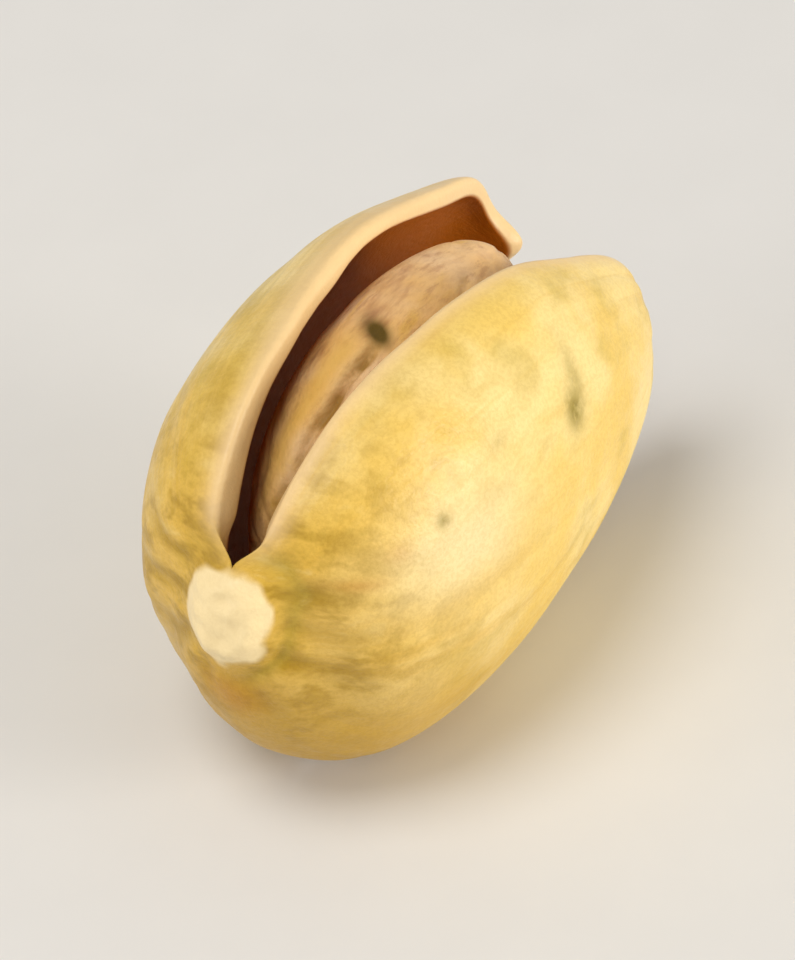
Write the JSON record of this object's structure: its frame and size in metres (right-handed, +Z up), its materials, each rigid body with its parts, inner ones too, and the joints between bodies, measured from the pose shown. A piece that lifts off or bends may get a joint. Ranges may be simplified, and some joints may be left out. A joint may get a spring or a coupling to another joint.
{
  "type": "pistachio in shell",
  "caption": "Roasted pistachio in its split woody shell: two halves gaping from the tip and joined at the stem scar, with the skinned kernel showing between them.",
  "frame": {"origin": "centre of the bottom of the box round the nut, on the surface that it rests on", "axes": "+X from the stem scar to the tip, +Y from the right half to the left half, +Z up, out of the split"},
  "size_m": [0.021, 0.012, 0.0144],
  "materials": {
    "shell": "satin",
    "kernel": "matte"
  },
  "bodies": {
    "root": {"shell": "shell", "kernel": "kernel"}
  },
  "joints": []
}
